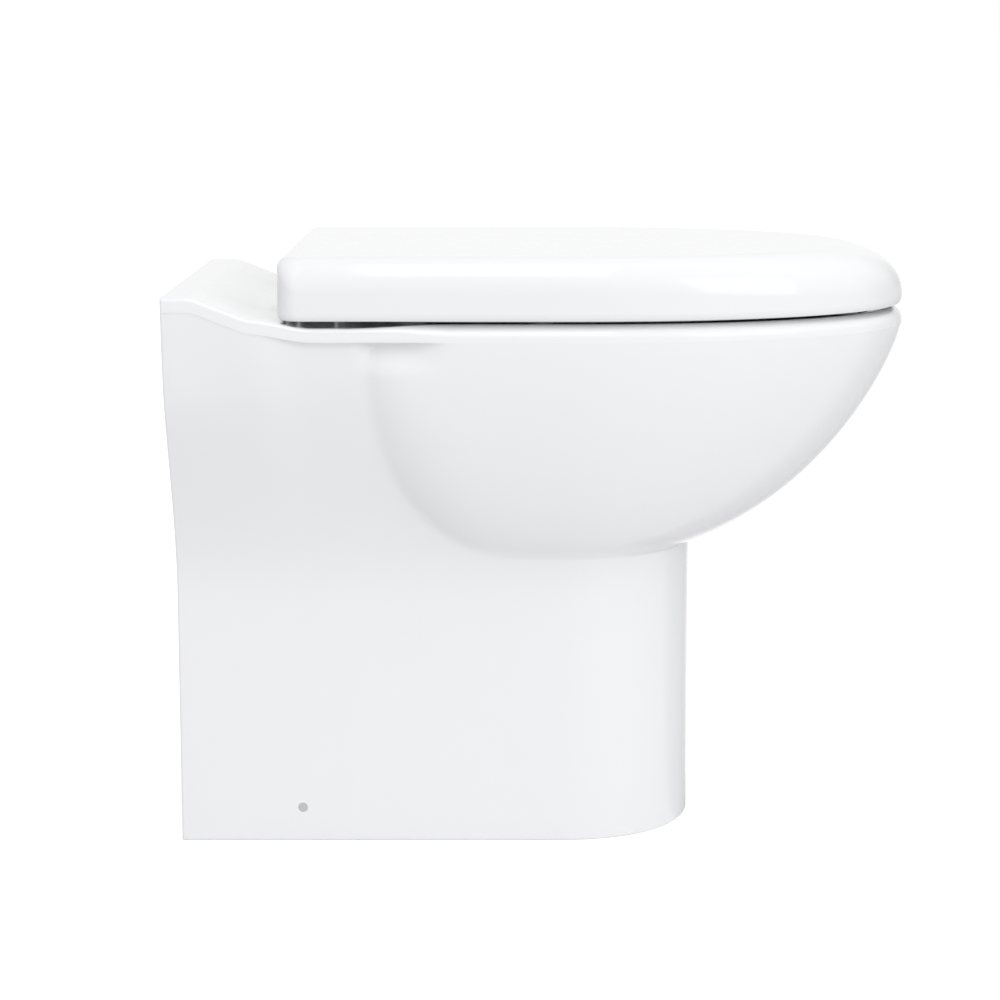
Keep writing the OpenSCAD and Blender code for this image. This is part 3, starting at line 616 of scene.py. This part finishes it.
def bowl_heights(parts):
    s = (1 - np.cos(np.pi * np.arange(parts + 1) / parts)) / 2
    return SUMP_Z + (RIM_H - BOWL_LIP - SUMP_Z) * s


def bowl_hollow():
    loops = [bowl_loop(z, z, 0) for z in bowl_heights(46)]
    loops += [bowl_loop(RIM_H, RIM_H - BOWL_LIP * (1 - math.sin(a)), BOWL_LIP * (1 - math.cos(a)))
              for a in np.radians([12, 24, 36, 48, 60, 71, 80])]
    loops.append(bowl_loop(RIM_H, RIM_H + OVER, 5.6))
    return lofted("bowl_hollow", loops, caps="disc")


def bowl_shell():
    loops = [bowl_loop(SUMP_Z, SUMP_Z - BOWL_T, BOWL_T / 2),
             bowl_loop(SUMP_Z, SUMP_Z - BOWL_T * 0.7, BOWL_T * 0.9)]
    loops += [bowl_loop(z, z - BOWL_T / 2, BOWL_T) for z in bowl_heights(30)[:-3]]
    loops.append(bowl_loop(RIM_H, SHELF_LOW + 2, BOWL_T))
    return lofted("bowl_shell", loops, caps="disc")


def boxed(name, low, high):
    """A plain box for cutting, from its low corner to its high one."""
    return hulled(name, [(x, d, z) for x in (low[0], high[0]) for d in (low[1], high[1])
                         for z in (low[2], high[2])])


def make_pan():
    outside = [skin_loop(*row) for row in skin_rows()]
    pan = painted(lofted("pan_glaze", outside), china, biscuit)
    cavity = painted(lofted("cavity", [cavity_loop(*row) for row in cavity_rows()]), biscuit)
    joined(pan, cavity, "DIFFERENCE")
    bowl = joined(painted(bowl_shell(), biscuit), painted(lofted("skin_copy", outside), biscuit), "INTERSECT")
    joined(pan, bowl, "UNION")
    trap = painted(trap_tube("trap", TRAP_R, 1), biscuit)
    joined(trap, boxed("trap_end", (-HALF_W, -OVER, 0), (HALF_W, SPIGOT_CLEAR + 3, RIM_H)), "DIFFERENCE")
    joined(pan, trap, "UNION")
    horn = [(PIPE_BACK, HORN_R - 1.8), (PIPE_BACK + 0.5, HORN_R - 0.6), (PIPE_BACK + 1.8, HORN_R),
            (MOUTH_BACK + 4, HORN_R)]
    spigot = [(PIPE_BACK, SPIGOT_R - 2), (PIPE_BACK + 0.6, SPIGOT_R - 0.6), (PIPE_BACK + 2, SPIGOT_R),
              (SPIGOT_IN - 3, SPIGOT_R), (SPIGOT_IN, SPIGOT_R - 2)]
    joined(pan, painted(turned("horn", horn, (0, INLET_Z), "d"), china), "UNION")
    joined(pan, painted(turned("spigot", spigot, (0, OUTLET_Z), "d"), china), "UNION")
    cuts = [bowl_hollow(), trap_tube("trap_bore", TRAP_BORE, 0),
            turned("spigot_bore", [(0, SPIGOT_BORE + 1.5), (PIPE_BACK, SPIGOT_BORE + 1.5),
                                   (PIPE_BACK + 1.5, SPIGOT_BORE), (SPIGOT_CLEAR + SPIGOT_LAP, SPIGOT_BORE)],
                   (0, OUTLET_Z), "d"),
            turned("inlet_bore", [(0, INLET_R + 1.2), (PIPE_BACK, INLET_R + 1.2), (PIPE_BACK + 1.2, INLET_R),
                                  (PIPE_BACK + INLET_DEPTH, INLET_R)], (0, INLET_Z), "d"),
            turned("channel", [(PIPE_BACK + INLET_DEPTH - 1, CHANNEL_R), (MOUTH_BACK + 30, CHANNEL_R)],
                   (0, INLET_Z), "d", 64)]
    fixing_hole = [(SHELF_LOW - 2, FIXING_R), (RIM_H - 0.8, FIXING_R), (RIM_H, FIXING_R + 0.8),
                   (RIM_H + 1, FIXING_R + 0.8)]
    side_hole = [(97, 2.6), (105, 2.6), (105.01, 3.4), (109.4, 3.4), (110, 4.0), (111, 4.0)]
    for side in (-1, 1):
        cuts.append(turned("fixing_hole", fixing_hole, (side * FIXING_X, FIXING_BACK), "z", 48))
        shank = [(side * x, r) for x, r in side_hole]
        cuts.append(turned("side_hole", shank, (BRACKET_BACK, SCREW_Z), "x", 40))
    for cut in cuts:
        joined(pan, painted(cut, china), "DIFFERENCE")
    return smoothed(pan)


# Lid: round at the front, nearly square at the rear
LID_CORNER = 14.0
LIP_IN, LIP_UP = 2.8, 6.0
# How far the top's edge goes in and down at the rear, at the sides and in front
EDGE_IN, EDGE_DOWN = (6.0, 18.0, 50.0), (8.0, 26.0, 38.0)
LID_CORNER_A = np.radians(np.linspace(0, 90, 10)[:-1])
LID_ARC = 84
LID_ARC_A = arc_angles(LID_ARC)
LID_SIDE_D = stepped([LID_BACK + LID_CORNER, MID_D], 5)


def lid_loop(cut, over_edge, z_cut, level=None):
    """One loop of the lid, cut in from outside. Over_edge is 0 where the top's edge starts and 1 on top."""
    c, s = 1 - math.cos(math.pi / 2 * over_edge), 1 - math.sin(math.pi / 2 * over_edge)
    half = HALF_W - cut
    kx = 1 - EDGE_IN[1] * c / half
    kr = 1 - EDGE_IN[0] * c / (MID_D - LID_BACK - cut)
    kf = 1 - EDGE_IN[2] * c / (RIM_ROUND - cut)
    top = LID_Z - z_cut
    a = LID_CORNER_A
    x = half - LID_CORNER * (1 - np.sin(a))
    d = LID_BACK + cut + LID_CORNER * (1 - np.cos(a))
    down = EDGE_DOWN[0] + (EDGE_DOWN[1] - EDGE_DOWN[0]) * a / (math.pi / 2)
    corner = np.stack([x * kx, MID_D - (MID_D - d) * kr, top - s * down], 1)
    d = np.maximum(LID_SIDE_D, LID_BACK + cut + LID_CORNER)
    side = np.stack([np.full(len(d), half * kx), MID_D - (MID_D - d) * kr,
                     np.full(len(d), top - s * EDGE_DOWN[1])], 1)
    u = math.pi / 2 * np.arange(1, LID_ARC + 1) / LID_ARC
    r = round_r(half, RIM_ROUND - cut, LID_ARC_A)
    arc = np.stack([r * np.cos(LID_ARC_A) * kx, MID_D + r * np.sin(LID_ARC_A) * kf,
                    top - s * (EDGE_DOWN[1] + (EDGE_DOWN[2] - EDGE_DOWN[1]) * np.sin(u) ** 2)], 1)
    arc[-1, 0] = 0
    loop = both_sides(np.concatenate([corner, side, arc]))
    if level is not None:
        loop[:, 2] = level
    return loop


def rounded_lug(name, x_from, x_to, extra):
    """A lug round the hinge pin, hulled with a root given by its corners, with soft ends."""
    ease = 0.8
    points = []
    for x, r in ((x_from, LUG_R - ease), (x_from + ease, LUG_R), (x_to - ease, LUG_R), (x_to, LUG_R - ease)):
        points += list(circle(64, r, (PIN_BACK, PIN_Z), x, "x"))
    points += [(x, d, z) for x in (x_from + ease, x_to - ease) for d, z in extra]
    return hulled(name, points)


def pin_bores(target, plain, damper, start, end):
    """The bore for the pin on one side and the wider one for the damper on the other."""
    for side, r in ((plain, PIN_R + 0.05), (damper, DAMPER_R)):
        bore = turned("pin_bore", [(side * start, r), (side * end, r)], (PIN_BACK, PIN_Z), "x", 64)
        joined(target, bore, "DIFFERENCE")


def make_lid():
    edge = np.radians(np.linspace(0, 90, 12))
    loops = [lid_loop(LIP_IN * (1 - math.sin(a)), 0, 0, LID_LOW + LIP_UP * (1 - math.cos(a))) for a in edge]
    loops += [lid_loop(0, e, 0) for e in np.linspace(0, 1, 26)]
    lid = lofted("lid_shell", loops)
    inner = [lid_loop(LID_T - 1.2, 0, 0, LID_LOW - OVER), lid_loop(LID_T - 1.2, 0, 0, LID_LOW),
             lid_loop(LID_T - 0.4, 0, 0, LID_LOW + 0.5), lid_loop(LID_T, 0, 0, LID_LOW + 1.4)]
    inner += [lid_loop(LID_T, e, LID_T) for e in np.linspace(0, 1, 18)]
    joined(lid, lofted("lid_hollow", inner), "DIFFERENCE")
    notch_in, notch_out, bend = POST_X - 1.5, RING_LUG_X + LUG_W + 1.5, 3.0
    for side in (-1, 1):
        outline = [(notch_in, LID_LOW - OVER), (notch_out, LID_LOW - OVER)]
        for x, turn in ((notch_out - bend, 0), (notch_in + bend, 90)):
            outline += [(x + bend * math.cos(a), LID_INNER_Z - bend + bend * math.sin(a))
                        for a in np.radians(np.linspace(turn, turn + 90, 7))]
        points = [(side * x, d, z) for x, z in outline for d in (LID_BACK - OVER, LID_BACK + LID_T + 7)]
        joined(lid, hulled("notch", points), "DIFFERENCE")
        root = [(PIN_BACK + k * 9, z) for k in (-1, 1) for z in (LID_INNER_Z - 0.5, LID_INNER_Z + 1)]
        ends = sorted((side * LID_LUG_X, side * (LID_LUG_X + LUG_W)))
        joined(lid, rounded_lug("lug", *ends, root), "UNION")
    pin_bores(lid, 1, -1, LID_LUG_X - 1, LID_LUG_X + LUG_W + 1)
    return smoothed(painted(lid, plastic_white))


# Seat ring: a band with a hollow underside, and two arms to the hinge
def ring_point(a, share):
    front = np.sin(a) >= 0
    outer = np.where(front, round_r(RING_HALF, RING_FRONT - MID_D, a),
                     round_r(RING_HALF, MID_D - RING_BACK, a, 9.0))
    inner = round_r(HOLE_HALF_W, HOLE_HALF_L, a)
    x = outer * np.cos(a) * (1 - share) + inner * np.cos(a) * share
    d = (MID_D + outer * np.sin(a)) * (1 - share) + (HOLE_MID + inner * np.sin(a)) * share
    return x, d


def flowing(points, parts):
    """A smooth line through points, with parts steps between each two."""
    p = np.asarray(points, float)
    ends = np.concatenate([[2 * p[0] - p[1]], p, [2 * p[-1] - p[-2]]])
    out = []
    for a, b, c, d in zip(ends, ends[1:], ends[2:], ends[3:]):
        for t in np.arange(parts) / parts:
            out.append(0.5 * (2 * b + (c - a) * t + (2 * a - 5 * b + 4 * c - d) * t * t
                              + (3 * b - a - 3 * c + d) * t ** 3))
    return out + [p[-1]]


def make_ring():
    top = flowing([(0, RING_Z - 9), (0.03, RING_Z - 4), (0.08, RING_Z - 1.2), (0.16, RING_Z),
                   (0.5, RING_Z - 1), (0.82, RING_Z - 4.5), (0.94, RING_Z - 8), (1, RING_Z - 14)], 5)
    web = RING_Z - 10
    profile = [(0.018, RING_LOW), (0.005, RING_LOW + 0.5), (0, RING_LOW + 1.4), *top, (1, RING_LOW + 1.4),
               (0.995, RING_LOW + 0.5), (0.982, RING_LOW), (0.87, RING_LOW), (0.86, RING_LOW + 0.6),
               (0.845, web - 1.5), (0.82, web), (0.16, web), (0.135, web - 1.5), (0.128, RING_LOW + 0.6),
               (0.12, RING_LOW)]
    parts = 220
    loops = []
    for i in range(parts):
        a = np.full(len(profile), 2 * math.pi * i / parts)
        share, z = np.array(profile).T
        x, d = ring_point(a, share)
        loops.append(np.stack([x, d, z], 1))
    ring = lofted("ring_shell", loops, ring=True)
    root = [(RING_BACK + k, z) for k in (8, 16) for z in (web - 2, RING_Z - 3)]
    for side in (-1, 1):
        ends = sorted((side * RING_LUG_X, side * (RING_LUG_X + LUG_W)))
        joined(ring, rounded_lug("arm", *ends, root), "UNION")
    pin_bores(ring, -1, 1, RING_LUG_X - 1, RING_LUG_X + LUG_W + 1)
    return smoothed(painted(ring, plastic_white))


def make_bolt(name, side):
    """A bolt with its thread cut where the nut runs."""
    low, high, thread_top, pitch, r, parts = RIM_H - 50, 412.4, 386.0, 1.25, 4.0, 24
    a = 2 * np.pi * np.arange(parts) / parts
    middle = (side * FIXING_X, FIXING_BACK)
    loops = [circle(parts, r - 1.1, middle, low, "z"), circle(parts, r - 0.6, middle, low + 0.5, "z")]
    for z in np.arange(low + 0.8, thread_top, pitch / 5):
        turn = (z / pitch - a / (2 * np.pi)) % 1
        depth = 0.62 * np.abs(2 * turn - 1) * min((z - low) / pitch, 1)
        rr = r - 0.02 - depth
        loops.append(np.stack([middle[0] + rr * np.cos(a), middle[1] + rr * np.sin(a), np.full(parts, z)], 1))
    loops += [circle(parts, r - 0.02, middle, z, "z") for z in (thread_top + 0.6, high)]
    return smoothed(painted(lofted(name, loops, caps="disc"), steel), 50)


def eased(name, finish, width, sharp_deg=30):
    """A CAD node with its edges eased and its finish on."""
    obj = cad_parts[name]
    obj.data.materials.clear()
    obj.data.materials.append(finish)
    weld = obj.modifiers.new("weld", "WELD")
    weld.merge_threshold = 1e-6
    if width:
        bevel = obj.modifiers.new("ease", "BEVEL")
        bevel.width, bevel.segments, bevel.limit_method = width * MM, 3, "ANGLE"
        bevel.angle_limit = math.radians(sharp_deg)
        bevel.harden_normals = True
    return obj


pan = make_pan()
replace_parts(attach(pan, "pan_body"),
            "pan", "foot", "trap_bend", "inlet_horn")
lid = make_lid()
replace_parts(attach(lid, "lid_body"), "lid")
ring = make_ring()
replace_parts(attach(ring, "ring_body"), "seat_ring")
for hand, side in (("left", -1), ("right", 1)):
    bolt = make_bolt("bolt_thread_" + hand, side)
    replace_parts(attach(bolt, "pan_body"), "hinge_bolt_" + hand)
    eased("hinge_plate_" + hand, steel, 0.25)
    eased("hinge_gasket_" + hand, rubber_dark, 0.15)
    eased("hinge_post_" + hand, steel, 0.7)
    eased("hinge_pin_" + hand, steel, 0.4)
    eased("fixing_bush_" + hand, rubber_dark, 0.5)
    eased("wing_nut_" + hand, plastic_pale, 0.6)
    eased("floor_bracket_" + hand, plastic_pale, 0.6)
    eased("side_screw_" + hand, steel, 0.3)
    eased("screw_cap_" + hand, plastic_cap, 0.35)
eased("fixing_washers", steel, 0.25)
eased("lid_damper", plastic_grey, 0.3)
eased("ring_damper", plastic_grey, 0.3)
eased("ring_buffers_front", rubber_pale, 0.5)
eased("ring_buffers_rear", rubber_pale, 0.5)
eased("lid_buffers", rubber_pale, 0.4)

# Floor: it takes the part's shadow, and shows white to the camera and, but for the dim side, to the glaze
floor = new_object("floor", [(-30, -30, 0), (30, -30, 0), (30, 30, 0), (-30, 30, 0)], [(0, 1, 2, 3)])
FLOOR_LIT, FLOOR_SHADE, FLOOR_GLOW = 0.80, 0.36, 0.82
TO_MIDDLE = (0.06, 0.08, 0)
f = new_finish("studio_floor")
lit = f.node("ShaderNodeBsdfDiffuse", sockets={"Color": (FLOOR_LIT, FLOOR_LIT, FLOOR_LIT, 1)})
shade = f.node("ShaderNodeBsdfDiffuse", sockets={"Color": (FLOOR_SHADE, FLOOR_SHADE, FLOOR_SHADE, 1)})
place = f.node("ShaderNodeTexCoord", out="Object")
outward = f.node("ShaderNodeVectorMath", {"operation": "ADD"}, {0: place, 1: TO_MIDDLE})
dim = f.dim_side(outward) * f.node("ShaderNodeLightPath", out="Is Glossy Ray") * DIM
glow = f.node("ShaderNodeEmission", sockets={"Color": FLOOR_GLOW - dim, "Strength": 1.0})
seen = f.node("ShaderNodeAddShader", sockets={0: shade, 1: glow})
mixed = f.node("ShaderNodeMixShader", sockets={0: f.seen_rays(), 1: lit, 2: seen})
f.node("ShaderNodeOutputMaterial", sockets={"Surface": mixed})
painted(floor, f.owner)

# Studio: a room that looks white and lights from above, the front and the left, with a strip lamp overhead
# and a soft key lamp from the front
ROOM_LIGHT = ((0.97, (0, 0, 1)), (0.25, (0, -1, 0)), (0.76, (-1, 0, 0)))
scene.world = bpy.data.worlds.new("studio")
f = Finish(scene.world)
outward = f.node("ShaderNodeTexCoord", out="Generated")
room = 0.0
for share, way in ROOM_LIGHT:
    toward = f.node("ShaderNodeVectorMath", {"operation": "DOT_PRODUCT"}, {0: outward, 1: way}, out=1)
    room = f.node("ShaderNodeMath", {"operation": "MAXIMUM"}, {0: toward, 1: 0}) * share + room
seen = f.seen_rays()
dim = f.dim_side(outward) * f.node("ShaderNodeLightPath", out="Is Glossy Ray") * DIM
f.node("ShaderNodeOutputWorld", sockets={"Surface": f.node("ShaderNodeBackground", sockets={
    "Color": (1, 1, 1, 1), "Strength": room + seen * (1 - room) - dim})})


def softbox(name, place, aim, size, radiance):
    """An area lamp as bright as radiance all over its face."""
    light = bpy.data.lights.new(name, "AREA")
    light.shape, light.size, light.size_y = "RECTANGLE", *size
    light.energy = radiance * math.pi * size[0] * size[1]
    box = bpy.data.objects.new(name, light)
    box.location = place
    box.rotation_euler = (Vector(aim) - Vector(place)).to_track_quat("-Z", "Y").to_euler()
    scene.collection.objects.link(box)


softbox("overhead_strip", (-0.9, -0.02, 1.9), (0, -0.02, 0.45), (0.5, 1.4), 1.6)
softbox("front_key", (-2.0, -2.0, 1.25), (0, 0, 0.25), (1.7, 1.7), 1.55)

scene.view_settings.view_transform = "Standard"
